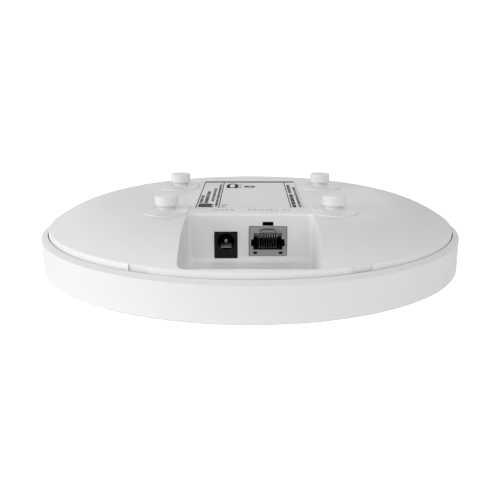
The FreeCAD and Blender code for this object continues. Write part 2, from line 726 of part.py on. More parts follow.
def make_stud_pads():
    """Four raised oblong pads on which the ceiling plate slides."""
    body = body_of("stud_pads")
    sketch = sketch_on(body, "stud_pads_outline", "XY_Plane", "plateau_z - into")
    for side_x, side_y in STUD_CORNERS:
        x, y = "stud_x * %d" % side_x, "stud_y * %d" % side_y
        left, right = "%s - pad_half" % x, "%s + pad_half" % x
        near, far = "%s - pad_reach + pad_half" % y, "%s + pad_reach - pad_half" % y
        outline(sketch, (right, near), [
            (right, far),
            (left, far, "pad_half", 1),
            (left, near),
            (right, near, "pad_half", 1),
        ])
    pad = body.newObject("PartDesign::Pad", "stud_pads_pad")
    pad.Profile = sketch
    bind(pad, Length="pad_rise + into")
    body.Tip = pad
    top = number_of("plateau_z + pad_rise")
    rounded(body, "stud_pads_edge", "pad_rise / 2", lambda point, edge: abs(point.z - top) < NEAR)
    return body


# ---------------------------------------------------------------- mounting studs and label

def make_studs():
    """Four headed studs that hang in the ceiling plate, each held by a screw from inside."""
    studs = []
    screws = []
    foot = "plateau_z + pad_rise"
    for number, (side_x, side_y) in enumerate(STUD_CORNERS):
        x, y = "stud_x * %d" % side_x, "stud_y * %d" % side_y
        stud = turned(
            "stud_%d" % number,
            ("stud_bore", foot),
            [
                ("stud_neck", foot),
                ("stud_neck", "stud_neck_z"),
                ("stud_head - stud_round", "stud_neck_z"),
                ("stud_head", "stud_neck_z + stud_round", "stud_round", 1),
                ("stud_head", "stud_top_z - stud_round"),
                ("stud_head - stud_round", "stud_top_z", "stud_round", 1),
                ("0", "stud_top_z"),
                ("0", "stud_bore_z"),
                ("stud_bore", "stud_bore_z"),
                ("stud_bore", foot),
            ],
        )
        place(stud, x, y)
        studs.append(stud)
        screws.append(screw("stud_screw_%d" % number, x, y, "stud_boss_z", "stud_bore_z - screw_room"))
    group("mounting_studs", studs)
    group("stud_screws", screws)


def make_label():
    """The printed rating label on the flat back."""
    left, right, near, far, corner = "label_left", "label_right", "label_near", "label_far", "label_round"
    body = padded(
        "rating_label",
        ("%s + %s" % (left, corner), near),
        [
            ("%s - %s" % (right, corner), near),
            (right, "%s + %s" % (near, corner), corner, 1),
            (right, "%s - %s" % (far, corner)),
            ("%s - %s" % (right, corner), far, corner, 1),
            ("%s + %s" % (left, corner), far),
            (left, "%s - %s" % (far, corner), corner, 1),
            (left, "%s + %s" % (near, corner)),
            ("%s + %s" % (left, corner), near, corner, 1),
        ],
        "plateau_z",
        "label_thick",
    )
    node("rating_label", body)


# ---------------------------------------------------------------- power inlet

def make_power_inlet():
    """The round low-voltage socket: housing, centre pin and springy leaf contact."""
    depth = "jack_front_y - dc_bore_end_y"
    block = box("dc_block", ("dc_x - dc_half", "-jack_front_y", "board_high"),
                ("dc_x + dc_half", "-dc_back_y", "dc_top"))
    axis_low = ("dc_x", "-jack_front_y", "dc_axis_z")
    bore = cylinder("dc_bore_room", "dc_bore", axis_low, depth, axis="y")
    pin_hole = cylinder("dc_pin_hole", "dc_pin", ("dc_x", "-dc_bore_end_y - over", "dc_axis_z"),
                        "3 * over", axis="y")
    mouth = doc.addObject("Part::Cone", "dc_mouth")
    mouth.Placement = FreeCAD.Placement(FreeCAD.Vector(), FreeCAD.Rotation(FreeCAD.Vector(1, 0, 0), -90))
    bind(mouth, Radius1="dc_bore + dc_chamfer", Radius2="dc_bore", Height="dc_chamfer")
    place(mouth, *axis_low)
    slot = box("dc_leaf_slot", ("dc_x - leaf_slot_half", "-leaf_slot_y", "leaf_slot_z"),
               ("dc_x + leaf_slot_half", "-dc_bore_end_y", "dc_axis_z"))
    node("dc_jack_housing", cut("dc_jack_housing", block, [bore, pin_hole, mouth, slot]))

    tip = doc.addObject("Part::Sphere", "dc_pin_tip")
    bind(tip, Radius="dc_pin")
    place(tip, "dc_x", "-dc_pin_y + dc_pin", "dc_axis_z")
    shaft = cylinder("dc_pin_shaft", "dc_pin", ("dc_x", "-dc_pin_y + dc_pin", "dc_axis_z"),
                     "dc_pin_y - dc_pin - dc_bore_end_y + 2 * over", axis="y")
    node("dc_centre_pin", fused("dc_centre_pin", [tip, shaft]))

    leaf = body_of("dc_leaf_contact")
    sketch = sketch_on(leaf, "leaf_profile", "YZ_Plane", "dc_x - leaf_half")
    outline(
        sketch,
        ("-leaf_back_y", "leaf_back_z"),
        [
            ("-leaf_back_y", "leaf_back_z + leaf_thick"),
            ("-leaf_crest_back_y", "leaf_crest_z + leaf_thick"),
            ("-leaf_crest_front_y", "leaf_crest_z + leaf_thick", "leaf_bend + leaf_thick", 1),
            ("-leaf_front_y", "leaf_front_z + leaf_thick"),
            ("-leaf_front_y", "leaf_front_z"),
            ("-leaf_crest_front_y", "leaf_crest_z"),
            ("-leaf_crest_back_y", "leaf_crest_z", "leaf_bend", -1),
            ("-leaf_back_y", "leaf_back_z"),
        ],
    )
    pad = leaf.newObject("PartDesign::Pad", "leaf_pad")
    pad.Profile = sketch
    bind(pad, Length="2 * leaf_half")
    leaf.Tip = pad
    node("dc_leaf_contact", leaf)


# ---------------------------------------------------------------- network port

def stepped_opening(name, front, back, plug_half="plug_half"):
    """The outline of a network plug with its latch: boxes of rising height, and side rooms."""
    rooms = [
        ("plug", plug_half, "plug_low", "plug_high", back),
        ("step", "step_half", "plug_high - rj_lap", "step_high", "(%s) - step_short" % back),
        ("key", "key_half", "step_high - rj_lap", "key_high", "(%s) - key_short" % back),
        ("side", "side_half", "side_low", "side_high", "(%s) - side_short" % back),
    ]
    parts = []
    for room, half, low, high, end in rooms:
        parts.append(box("%s_%s" % (name, room),
                         ("rj_x - " + half, front, low),
                         ("rj_x + " + half, end, high)))
    return parts


def make_network_port():
    """The shielded network port: steel shield, plastic insert and eight sprung contacts."""
    outside = box("rj_outside", ("rj_x - rj_half", "-jack_front_y", "rj_low"),
                  ("rj_x + rj_half", "-rj_back_y", "rj_top"))
    inside = box("rj_inside", ("rj_x - rj_half + rj_sheet", "-jack_front_y + rj_sheet", "rj_low - over"),
                 ("rj_x + rj_half - rj_sheet", "-rj_back_y - rj_sheet", "rj_top - rj_sheet"))
    openings = stepped_opening("rj_front", "-jack_front_y - over", "-jack_front_y + front_room")
    for side in (-1, 1):
        middle = "rj_x + test_hole_reach * %d" % side
        openings.append(box("rj_test_hole_%s" % ("left" if side < 0 else "right"),
                            (middle + " - test_hole_half", "-jack_front_y - over", "test_hole_low"),
                            (middle + " + test_hole_half", "-jack_front_y + over", "test_hole_high")))
    node("rj45_shield", cut("rj45_shield", outside, [inside] + openings))

    margin = "(rj_sheet + rj_fit)"
    block_front, block_back = "-jack_front_y + %s" % margin, "-rj_back_y - %s" % margin
    block_left, block_right = "rj_x - rj_half + %s" % margin, "rj_x + rj_half - %s" % margin
    block = box("rj_block", (block_left, block_front, "rj_low"),
                (block_right, block_back, "rj_top - %s" % margin))
    foot = box("rj_foot", (block_left, "-rj_foot_y", "board_high"),
               (block_right, block_back, "rj_low + into"))
    rooms = stepped_opening("rj_insert", "-jack_front_y - over", "-plug_back_y", "(plug_half - rj_fit)")
    carved = cut("rj_carved", fused("rj_blank", [block, foot]), rooms)
    ribs = []
    for number in range(CONTACT_COUNT + 1):
        middle = "rj_x + contact_pitch * %.1f" % (number - CONTACT_COUNT / 2)
        ribs.append(box("comb_rib_%d" % number,
                        (middle + " - comb_rib/2", "-comb_front_y", "plug_low - into"),
                        (middle + " + comb_rib/2", "-plug_back_y + into", "comb_high")))
    node("rj45_insert", fused("rj45_insert", [carved] + ribs))

    contacts = []
    for number in range(CONTACT_COUNT):
        middle = "rj_x + contact_pitch * %.1f" % (number - (CONTACT_COUNT - 1) / 2)
        contact = body_of("contact_%d" % number)
        sketch = sketch_on(contact, "contact_%d_profile" % number, "YZ_Plane",
                           middle + " - contact_width/2")
        outline(
            sketch,
            ("-contact_front_y", "contact_front_z"),
            [
                ("-contact_heel_y", "contact_front_z"),
                ("-contact_back_y", "contact_back_z"),
                ("-contact_back_y", "contact_back_z + contact_thick"),
                ("-contact_heel_y - contact_skew", "contact_front_z + contact_thick"),
                ("-contact_front_y", "contact_front_z + contact_thick"),
                ("-contact_front_y", "contact_front_z"),
            ],
        )
        pad = contact.newObject("PartDesign::Pad", "contact_%d_pad" % number)
        pad.Profile = sketch
        bind(pad, Length="contact_width")
        contact.Tip = pad
        contacts.append(contact)
    group("rj45_contacts", contacts)


# ---------------------------------------------------------------- board and what it carries

def make_board():
    """The main board, cut out round the port bay, with its screws and spacers."""
    corners = [("boss_x * %d" % x, "boss_y * %d" % y) for x, y in STUD_CORNERS]
    near = "-sqrt(board_radius^2 - board_cut_half^2)"
    body = padded(
        "main_board",
        ("board_cut_half", "-board_cut_y"),
        [
            ("board_cut_half", near),
            ("-board_cut_half", near, "board_radius", 1, "large"),
            ("-board_cut_half", "-board_cut_y"),
            ("board_cut_half", "-board_cut_y"),
        ],
        "board_low",
        "board_high - board_low",
        [(x, y, "screw_hole") for x, y in corners],
    )
    node("main_board", body)

    side = "sqrt(spreader_radius^2 - spreader_front_y^2)"
    plate = padded(
        "heat_spreader",
        ("spreader_cut_half", "-spreader_cut_y"),
        [
            ("spreader_cut_half", "-spreader_front_y"),
            (side, "-spreader_front_y"),
            ("-" + side, "-spreader_front_y", "spreader_radius", 1, "large"),
            ("-spreader_cut_half", "-spreader_front_y"),
            ("-spreader_cut_half", "-spreader_cut_y"),
            ("spreader_cut_half", "-spreader_cut_y"),
        ],
        "spreader_low",
        "spreader_high - spreader_low",
        [(x, y, "screw_hole") for x, y in corners],
    )
    node("heat_spreader", plate)

    spacers = []
    screws = []
    for number, (x, y) in enumerate(corners):
        name = "spacer_%d" % number
        tube = cylinder(name + "_tube", "spacer_radius", (x, y, "board_high"),
                        "spreader_low - board_high")
        hole = cylinder(name + "_hole", "screw_hole", (x, y, "board_high - over"),
                        "spreader_low - board_high + 2 * over")
        spacers.append(cut(name, tube, [hole]))
        screws.append(screw("board_screw_%d" % number, x, y, "board_low", "board_screw_end"))
    group("board_spacers", spacers)
    group("board_screws", screws)


def flat_block(label, x, y, width, length, low, high):
    """A plain rectangular component standing on the board."""
    return node(label, box(
        label,
        ("%s - %s/2" % (x, width), "%s - %s/2" % (y, length), low),
        ("%s + %s/2" % (x, width), "%s + %s/2" % (y, length), high),
    ))


def shielding_can(label, x, y, width, length):
    """A sheet-metal can, open underneath, over a part of the board."""
    left, right = "%s - %s/2" % (x, width), "%s + %s/2" % (x, width)
    near, far = "%s - %s/2" % (y, length), "%s + %s/2" % (y, length)
    outside = box(label + "_outside", (left, near, "board_high"), (right, far, "can_high"))
    inside = box(label + "_inside",
                 (left + " + can_wall", near + " + can_wall", "board_high - over"),
                 (right + " - can_wall", far + " - can_wall", "can_high - can_wall"))
    node(label, cut(label, outside, [inside]))


def make_electronics():
    """Shielding cans, chips, thermal pads, magnetics, capacitors and the status light."""
    chip_pads = []
    can_pads = []
    for can, chip, x, y, width, length, size in SHIELDED_SECTIONS:
        shielding_can(can, x, y, width, length)
        flat_block(chip, x, y, size, size, "board_high", "chip_high")
        half = "%s/2" % size
        chip_pads.append(box(chip + "_pad", ("%s - %s" % (x, half), "%s - %s" % (y, half), "chip_high"),
                             ("%s + %s" % (x, half), "%s + %s" % (y, half), "can_high - can_wall")))
        half = "(%s/2 + pad_margin)" % size
        can_pads.append(box(can + "_pad", ("%s - %s" % (x, half), "%s - %s" % (y, half), "can_high"),
                            ("%s + %s" % (x, half), "%s + %s" % (y, half), "spreader_low")))
    group("chip_thermal_pads", chip_pads)
    group("can_thermal_pads", can_pads)
    for label, x, y, width, length, low, high in BOARD_BLOCKS:
        flat_block(label, x, y, width, length, low, high)

    node("power_transformer", power_core("power_transformer", *POWER_CORE_PLACE))
    capacitors = []
    for number, (x, y) in enumerate(CAPACITOR_PLACES):
        capacitors.append(cylinder("capacitor_%d" % number, "capacitor_radius",
                                   (str(x), str(y), "board_high"), "capacitor_rise"))
    group("bulk_capacitors", capacitors)


def power_core(name, x, y, width, length):
    """A power transformer: a winding block between two ferrite ends."""
    left, right = "%s - %s" % (x, width / 2), "%s + %s" % (x, width / 2)
    near, far = "%s - %s" % (y, length / 2), "%s + %s" % (y, length / 2)
    top = "board_high + core_rise"
    near_end = box(name + "_near_end", (left, near, "board_high"), (right, near + " + core_end", top))
    far_end = box(name + "_far_end", (left, far + " - core_end", "board_high"), (right, far, top))
    winding = box(name + "_winding",
                  (left + " + core_inset", near + " + core_end - into", "board_high + into"),
                  (right + " - core_inset", far + " - core_end + into", top + " - core_inset"))
    return fused(name, [near_end, far_end, winding])


def make_antennas():
    """Four folded sheet-metal antennas soldered to the front side of the board's edge."""
    for label, angle, length in ANTENNA_PLACES:
        roof = box(label + "_roof", ("antenna_inner", str(-length / 2), "antenna_low"),
                   ("antenna_outer", str(length / 2), "antenna_low + antenna_sheet"))
        legs = []
        for number in range(2):
            along = "%s + antenna_leg_gap * %d" % (-length / 2, number)
            legs.append(box("%s_leg_%d" % (label, number), ("antenna_inner", along, "antenna_low"),
                            ("antenna_inner + antenna_sheet", along + " + antenna_leg", "board_low")))
        piece = fused(label, [roof] + legs)
        piece.Placement = FreeCAD.Placement(FreeCAD.Vector(), FreeCAD.Rotation(UP, angle))
        node(label, piece)


def make_reset_switch():
    """A side-pressed push switch on the board, behind the pin hole in the bay's left wall."""
    front, back = "-reset_x", "-reset_x - reset_depth"
    block = box("reset_block", (back, "-reset_y - reset_half", "board_high"),
                (front, "-reset_y + reset_half", "reset_top"))
    room_back = "-reset_x - plunger_wall - plunger_room_depth"
    chamber = cylinder("reset_chamber", "plunger_room", (room_back, "-reset_y", "reset_z"),
                       "plunger_room_depth", axis="x")
    hole = cylinder("reset_bore", "plunger_hole", ("-reset_x - plunger_wall - into", "-reset_y", "reset_z"),
                    "plunger_wall + 2 * into", axis="x")
    node("reset_switch", cut("reset_switch", block, [chamber, hole]))

    flange_front = "-reset_x - plunger_wall - plunger_slack"
    flange = cylinder("plunger_disc", "plunger_flange",
                      (flange_front + " - plunger_flange_thick", "-reset_y", "reset_z"),
                      "plunger_flange_thick", axis="x")
    stem = cylinder("plunger_stem", "plunger_radius",
                    (flange_front + " - sheet_into", "-reset_y", "reset_z"),
                    "plunger_wall + plunger_slack + sheet_into + plunger_out", axis="x")
    node("reset_plunger", fused("reset_plunger", [flange, stem]))


# ---------------------------------------------------------------- build, check and write

make_front_cover()
make_light_guide()
make_rear_cover()
make_studs()
make_label()
make_power_inlet()
make_network_port()
make_board()
make_electronics()
make_antennas()
make_reset_switch()
doc.recompute()

faults = []
for item in doc.Objects:
    if {"Invalid", "Error"} & set(item.State):
        faults.append("%s is %s" % (item.Name, item.State))
for label, item in nodes.items():
    shape = item.Shape
    if shape.isNull() or not shape.isValid() or not shape.Solids:
        faults.append("%s has no valid solid" % label)
if faults:
    raise RuntimeError("; ".join(faults))

os.makedirs("parts", exist_ok=True)
for label, item in nodes.items():
    item.Shape.exportStep("parts/%s.step" % label)
print("%d sub-parts written" % len(nodes))
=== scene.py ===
import json
import math
import random

import bmesh
import bpy
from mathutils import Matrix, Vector


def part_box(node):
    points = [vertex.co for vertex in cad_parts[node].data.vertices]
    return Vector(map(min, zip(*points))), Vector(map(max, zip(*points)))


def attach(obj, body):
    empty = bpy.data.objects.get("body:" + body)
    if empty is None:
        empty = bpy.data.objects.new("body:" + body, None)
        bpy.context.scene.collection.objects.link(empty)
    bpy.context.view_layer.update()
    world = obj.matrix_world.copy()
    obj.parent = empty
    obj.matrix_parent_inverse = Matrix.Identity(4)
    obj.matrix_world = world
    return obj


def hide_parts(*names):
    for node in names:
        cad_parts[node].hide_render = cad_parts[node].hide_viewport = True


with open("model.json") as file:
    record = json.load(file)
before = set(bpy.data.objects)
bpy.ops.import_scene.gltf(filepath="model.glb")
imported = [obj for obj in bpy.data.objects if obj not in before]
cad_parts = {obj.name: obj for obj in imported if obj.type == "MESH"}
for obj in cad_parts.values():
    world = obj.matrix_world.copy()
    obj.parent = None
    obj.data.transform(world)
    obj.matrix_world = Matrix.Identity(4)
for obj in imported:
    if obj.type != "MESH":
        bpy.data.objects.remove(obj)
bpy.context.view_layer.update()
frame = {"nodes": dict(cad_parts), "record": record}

MM = 0.001
NODES = frame["nodes"]


# ---------------------------------------------------------------- material building

class Shader:
    """A node material in the making: each call adds one node and returns its output."""

    def __init__(self, name):
        self.material = bpy.data.materials.new(name)
        self.material.use_nodes = True
        self.tree = self.material.node_tree
        self.surface = self.tree.nodes["Principled BSDF"]
        self.place = self.node("ShaderNodeTexCoord").outputs["Object"]

    def node(self, kind, inputs=(), **settings):
        item = self.tree.nodes.new(kind)
        for key, setting in settings.items():
            setattr(item, key, setting)
        for socket, source in dict(inputs).items():
            self.feed(item.inputs[socket], source)
        return item

    def feed(self, socket, source):
        if isinstance(source, bpy.types.NodeSocket):
            self.tree.links.new(source, socket)
        else:
            socket.default_value = source

    def set(self, **sockets):
        for name, source in sockets.items():
            self.feed(self.surface.inputs[name.replace("_", " ")], source)

    def stretched(self, x, y, z):
        """Object coordinates scaled per axis, so that a texture drawn with them runs along one."""
        inputs = {"Vector": self.place, "Scale": (x, y, z)}
        return self.node("ShaderNodeMapping", inputs).outputs["Vector"]

    def noise(self, scale, detail=2.0, rough=0.5, distortion=0.0, vector=None):
        """Noise from 0 to 1 with features of about 1/scale metres."""
        inputs = {"Vector": vector or self.place, "Scale": scale, "Detail": detail,
                  "Roughness": rough, "Distortion": distortion}
        return self.node("ShaderNodeTexNoise", inputs).outputs["Fac"]

    def cells(self, scale, vector=None, feature="F1"):
        """The distance to the middle, or to the edge, of cells about 1/scale metres across."""
        inputs = {"Vector": vector or self.place, "Scale": scale}
        return self.node("ShaderNodeTexVoronoi", inputs, feature=feature).outputs["Distance"]

    def span(self, value, low, high, to_low, to_high):
        """Maps low..high to to_low..to_high, clamped."""
        inputs = {"Value": value, "From Min": low, "From Max": high,
                  "To Min": to_low, "To Max": to_high}
        return self.node("ShaderNodeMapRange", inputs, clamp=True).outputs["Result"]

    def math(self, operation, a, b):
        item = self.node("ShaderNodeMath", operation=operation)
        self.feed(item.inputs[0], a)
        self.feed(item.inputs[1], b)
        return item.outputs["Value"]

    def mix(self, share, a, b):
        """Colour a where share is 0 and colour b where it is 1."""
        item = self.node("ShaderNodeMix", data_type="RGBA")
        self.feed(item.inputs["Factor"], share)
        for socket, source in ((item.inputs[6], a), (item.inputs[7], b)):
            self.feed(socket, source if isinstance(source, bpy.types.NodeSocket) else (*source, 1.0))
        return item.outputs[2]

    def bump(self, height, depth, strength, under=None):
        """A bump whose height of 0..1 stands for depth in metres."""
        inputs = {"Height": height, "Distance": depth, "Strength": strength}
        if under is not None:
            inputs["Normal"] = under
        return self.node("ShaderNodeBump", inputs).outputs["Normal"]

    def rounded(self, radius):
        """The surface's own direction, smoothed across edges as a mould's small radius does."""
        return self.node("ShaderNodeBevel", {"Radius": radius}, samples=6).outputs["Normal"]

    def crevices(self, reach):
        """0 in corners that light hardly reaches, 1 on open surfaces."""
        return self.node("ShaderNodeAmbientOcclusion", {"Distance": reach}, samples=8).outputs["AO"]

    def wear(self, colour, worn):
        """Rubs the worn colour in along outer edges, at half strength."""
        pointed = self.node("ShaderNodeNewGeometry").outputs["Pointiness"]
        edge = self.span(pointed, 0.56, 0.66, 0.0, 1.0)
        return self.mix(self.math("MULTIPLY", edge, 0.5), colour, worn)


def moulded_plastic(name, light, dark, rough, grain, depth, specular=0.45):
    """Moulded plastic: a fine eroded grain, faint flow marks, painted shade in the corners, smoother
    edges.
    """
    s = Shader(name)
    fine = s.noise(grain, 3.0, 0.6)
    coarse = s.noise(grain / 6.0, 2.0)
    flow = s.noise(28.0, 3.0, 0.55, 0.6)
    tone = s.mix(s.span(flow, 0.3, 0.7, 0.0, 1.0), dark, light)
    # painted shade: the tone darkens to 0.95 of the dark tone where ambient occlusion finds corners that
    # light hardly reaches
    corner = s.crevices(0.0015)
    painted_shade_tone = tuple(0.95 * channel for channel in dark)
    tone = s.mix(s.span(corner, 0.35, 0.9, 0.0, 1.0), painted_shade_tone, tone)
    tone = s.wear(tone, tuple(min(1.0, 1.05 * channel) for channel in light))
    patch = s.span(s.noise(70.0, 2.0), 0.3, 0.7, rough - 0.05, rough + 0.05)
    s.set(Base_Color=tone, Roughness=patch, IOR=1.49,
          Normal=s.bump(fine, depth, 0.8, s.bump(coarse, depth * 2.0, 0.5, s.rounded(0.00015))))
    s.surface.inputs["Specular IOR Level"].default_value = specular
    return s.material


def port_insert():
    """The port's insert: near-black, with a band behind the plug's latch painted near-white, partly
    lighter grey plastic and partly painted light for the light that falls into the top of the port.
    """
    s = Shader("insert_plastic")
    height = s.node("ShaderNodeSeparateXYZ", {"Vector": s.place}).outputs["Z"]
    low, high = PAINTED_LIGHT_BAND
    painted_light_share = s.math("MULTIPLY", s.span(height, low - 0.0002, low + 0.0002, 0.0, 1.0),
                   s.span(height, high - 0.0001, high + 0.0001, 1.0, 0.0))
    fine = s.noise(8000.0, 3.0, 0.6)
    cloud = s.span(s.noise(900.0, 2.0), 0.3, 0.7, 0.0, 1.0)
    lower_tone = s.mix(cloud, (0.006, 0.006, 0.006), (0.010, 0.010, 0.010))
    # painted light: the band's near-white albedo, brighter than grey plastic, stands in for the light that
    # reaches the top of the port
    painted_light_tone = s.mix(cloud, (0.80, 0.80, 0.79), (0.86, 0.86, 0.85))
    s.set(Base_Color=s.mix(painted_light_share, lower_tone, painted_light_tone), Roughness=s.span(fine, 0.3, 0.7, 0.45, 0.6),
          Normal=s.bump(fine, 8e-6, 0.7))
    s.surface.inputs["Specular IOR Level"].default_value = 0.12
    return s.material


def sheet_metal(name, light, dark, rough, grain=(2500.0, 2500.0, 120.0), spots=0.0):
    """Rolled or plated metal: fine lines along the rolling direction, cloudy tone, worn edges."""
    s = Shader(name)
    lines = s.noise(1.0, 3.0, 0.6, vector=s.stretched(*grain))
    cloud = s.noise(450.0, 4.0, 0.6)
    tone = s.mix(s.span(cloud, 0.3, 0.7, 0.0, 1.0), dark, light)
    if spots:
        mark = s.span(s.noise(1500.0, 2.0, 0.7), 0.6, 0.72, 0.0, spots)
        tone = s.mix(mark, tone, tuple(0.6 * channel for channel in dark))
    tone = s.wear(tone, tuple(min(1.0, 1.15 * channel) for channel in light))
    haze = s.math("ADD", s.span(cloud, 0.3, 0.7, rough - 0.06, rough + 0.06),
                  s.span(lines, 0.2, 0.8, -0.05, 0.05))
    s.set(Base_Color=tone, Roughness=haze, Metallic=1.0, Normal=s.bump(lines, 2e-6, 0.7))
    return s.material


def circuit_board():
    """Green solder mask over a weave, with traces as darker ridges."""
    s = Shader("circuit_board")
    weave = s.cells(900.0, vector=s.stretched(1.0, 1.0, 0.05))
    route = s.cells(230.0, vector=s.stretched(1.0, 1.0, 0.0), feature="DISTANCE_TO_EDGE")
    trace = s.span(route, 0.03, 0.06, 1.0, 0.0)
    tone = s.mix(s.span(weave, 0.0, 0.8, 0.0, 0.5), (0.012, 0.13, 0.05), (0.008, 0.10, 0.04))
    tone = s.mix(s.math("MULTIPLY", trace, 0.6), tone, (0.03, 0.24, 0.10))
    s.set(Base_Color=tone, Roughness=s.span(weave, 0.0, 1.0, 0.28, 0.42),
          Normal=s.bump(trace, 3e-5, 0.8))
    return s.material


def printed_film():
    """The label's film: pale grey, satin, with a faint orange-peel and fibres under the print."""
    s = Shader("label_film")
    peel = s.noise(700.0, 2.0)
    fibre = s.noise(1.0, 3.0, 0.7, vector=s.stretched(260.0, 900.0, 900.0))
    tone = s.mix(s.span(fibre, 0.35, 0.65, 0.0, 1.0), (0.66, 0.66, 0.665), (0.69, 0.69, 0.695))
    s.set(Base_Color=tone, Roughness=s.span(peel, 0.3, 0.7, 0.34, 0.46), Normal=s.bump(peel, 6e-6, 0.6))
    return s.material


def ink(name, dark, faded):
    """Printing ink that lets the film through in specks."""
    s = Shader(name)
    speck = s.span(s.noise(5000.0, 2.0, 0.7), 0.45, 0.75, 0.0, 0.6)
    s.set(Base_Color=s.mix(speck, dark, faded), Roughness=s.span(speck, 0.0, 0.6, 0.75, 0.9))
    s.surface.inputs["Specular IOR Level"].default_value = 0.08
    return s.material


def clear_plastic():
    """The light guide: clear, with a slightly frosted skin."""
    s = Shader("clear_plastic")
    haze = s.noise(1800.0, 2.0)
    s.set(Base_Color=s.mix(haze, (0.86, 0.89, 0.91), (0.93, 0.95, 0.96)),
          Roughness=s.span(haze, 0.3, 0.7, 0.12, 0.3), Normal=s.bump(haze, 4e-6, 0.5))
    s.surface.inputs["Transmission Weight"].default_value = 0.7
    return s.material


def soft_pad():
    """Silicone heat pad: matt, with filler grains and small pits."""
    s = Shader("thermal_pad")
    grains = s.cells(2600.0)
    tone = s.mix(s.span(grains, 0.0, 0.9, 0.0, 1.0), (0.42, 0.52, 0.62), (0.52, 0.60, 0.69))
    s.set(Base_Color=tone, Roughness=s.span(grains, 0.0, 1.0, 0.75, 0.95),
          Normal=s.bump(grains, 4e-5, 0.7))
    return s.material


# the height, in metres, of the band where the network port's insert is painted near-white: partly lighter
# grey plastic, partly painted light
INSERT_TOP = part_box("rj45_insert")[1][2]
PAINTED_LIGHT_BAND = (INSERT_TOP - 0.0062, INSERT_TOP - 0.0009)

# each material by the record's slot: light tone, dark tone, roughness and then the grain
MATERIALS = {
    "white_plastic": moulded_plastic("white_plastic", (0.80, 0.80, 0.805), (0.785, 0.785, 0.79),
                                     0.5, 6000.0, 9e-6),
    "clear_plastic": clear_plastic(),
    "label_film": printed_film(),
    "screw_steel": sheet_metal("screw_steel", (0.62, 0.62, 0.64), (0.48, 0.48, 0.50), 0.34, spots=0.3),
    "brass_spacer": sheet_metal("brass_spacer", (0.78, 0.60, 0.30), (0.62, 0.45, 0.20), 0.3),
    "black_plastic": moulded_plastic("black_plastic", (0.006, 0.006, 0.0065), (0.004, 0.004, 0.0045),
                                     0.55, 7000.0, 8e-6, 0.2),
    "contact_nickel": sheet_metal("contact_nickel", (0.70, 0.69, 0.66), (0.56, 0.55, 0.52), 0.24),
    "shield_steel": sheet_metal("shield_steel", (0.42, 0.415, 0.40), (0.33, 0.325, 0.31), 0.36,
                                spots=0.35),
    "insert_plastic": port_insert(),
    "contact_gold": sheet_metal("contact_gold", (0.36, 0.33, 0.27), (0.24, 0.21, 0.17), 0.42),
    "circuit_board": circuit_board(),
    "spreader_aluminium": sheet_metal("spreader_aluminium", (0.76, 0.77, 0.78), (0.62, 0.63, 0.65),
                                      0.36, grain=(120.0, 2500.0, 2500.0)),
    "tinned_can": sheet_metal("tinned_can", (0.70, 0.70, 0.70), (0.56, 0.56, 0.57), 0.3, spots=0.25),
    "chip_epoxy": moulded_plastic("chip_epoxy", (0.022, 0.022, 0.024), (0.015, 0.015, 0.016),
                                  0.6, 5000.0, 1.4e-5),
    "thermal_pad": soft_pad(),
    "ferrite": moulded_plastic("ferrite", (0.075, 0.075, 0.08), (0.05, 0.05, 0.055), 0.55, 3000.0, 2e-5),
    "capacitor_sleeve": moulded_plastic("capacitor_sleeve", (0.03, 0.045, 0.11), (0.02, 0.03, 0.08),
                                        0.25, 2500.0, 5e-6),
    "led_body": moulded_plastic("led_body", (0.92, 0.90, 0.76), (0.86, 0.83, 0.66), 0.3, 5000.0, 5e-6),
    "antenna_metal": sheet_metal("antenna_metal", (0.76, 0.68, 0.52), (0.62, 0.54, 0.40), 0.28, spots=0.2),
    "plunger_plastic": moulded_plastic("plunger_plastic", (0.80, 0.79, 0.75), (0.74, 0.73, 0.69),
                                       0.45, 6000.0, 8e-6),
}
INK = ink("label_ink", (0.012, 0.012, 0.013), (0.07, 0.07, 0.072))
PALE_INK = ink("pale_ink", (0.44, 0.44, 0.45), (0.60, 0.60, 0.61))
LEAF_METAL = sheet_metal("leaf_metal", (0.52, 0.52, 0.51), (0.42, 0.42, 0.41), 0.4)
SHELF_PLASTIC = moulded_plastic("shelf_plastic", (0.27, 0.27, 0.265), (0.23, 0.23, 0.225),
                                0.5, 8000.0, 8e-6)
PIN_METAL = sheet_metal("pin_metal", (0.36, 0.36, 0.355), (0.27, 0.27, 0.265), 0.4)

for row in frame["record"]["subparts"]:
    for slot in NODES[row["node"]].material_slots:
        slot.material = MATERIALS[row["material_slot"]]
for node, metal in (("dc_leaf_contact", LEAF_METAL), ("dc_centre_pin", PIN_METAL)):
    for slot in NODES[node].material_slots:
        slot.material = metal


# ---------------------------------------------------------------- mesh building

SMOOTH_UP_TO = 35.0   # edges of new pieces that turn by more degrees than this stay sharp
ROUND_FROM = 28.0     # edges of CAD shapes that turn by more degrees than this are rounded
BEVEL_SEGMENTS = 2


def body_holding(node):
    for body, members in frame["record"]["behaviour"]["bodies"].items():
        if node in members:
            return body


def made(name, bm, material, body):
    """Turns a finished bmesh into a piece that rides on a body."""
    bmesh.ops.recalc_face_normals(bm, faces=bm.faces)
    mesh = bpy.data.meshes.new(name)
    bm.to_mesh(mesh)
    bm.free()
    mesh.shade_smooth()
    mesh.set_sharp_from_angle(angle=math.radians(SMOOTH_UP_TO))
    mesh.materials.append(material)
    item = bpy.data.objects.new(name, mesh)
    bpy.context.scene.collection.objects.link(item)
    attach(item, body)
    return item


def bevelled(bm, edges, width):
    """Rounds edges of bm by width, in metres."""
    bmesh.ops.bevel(bm, geom=edges, offset=width, offset_type="OFFSET", segments=BEVEL_SEGMENTS,
                    profile=0.5, affect="EDGES", clamp_overlap=False)


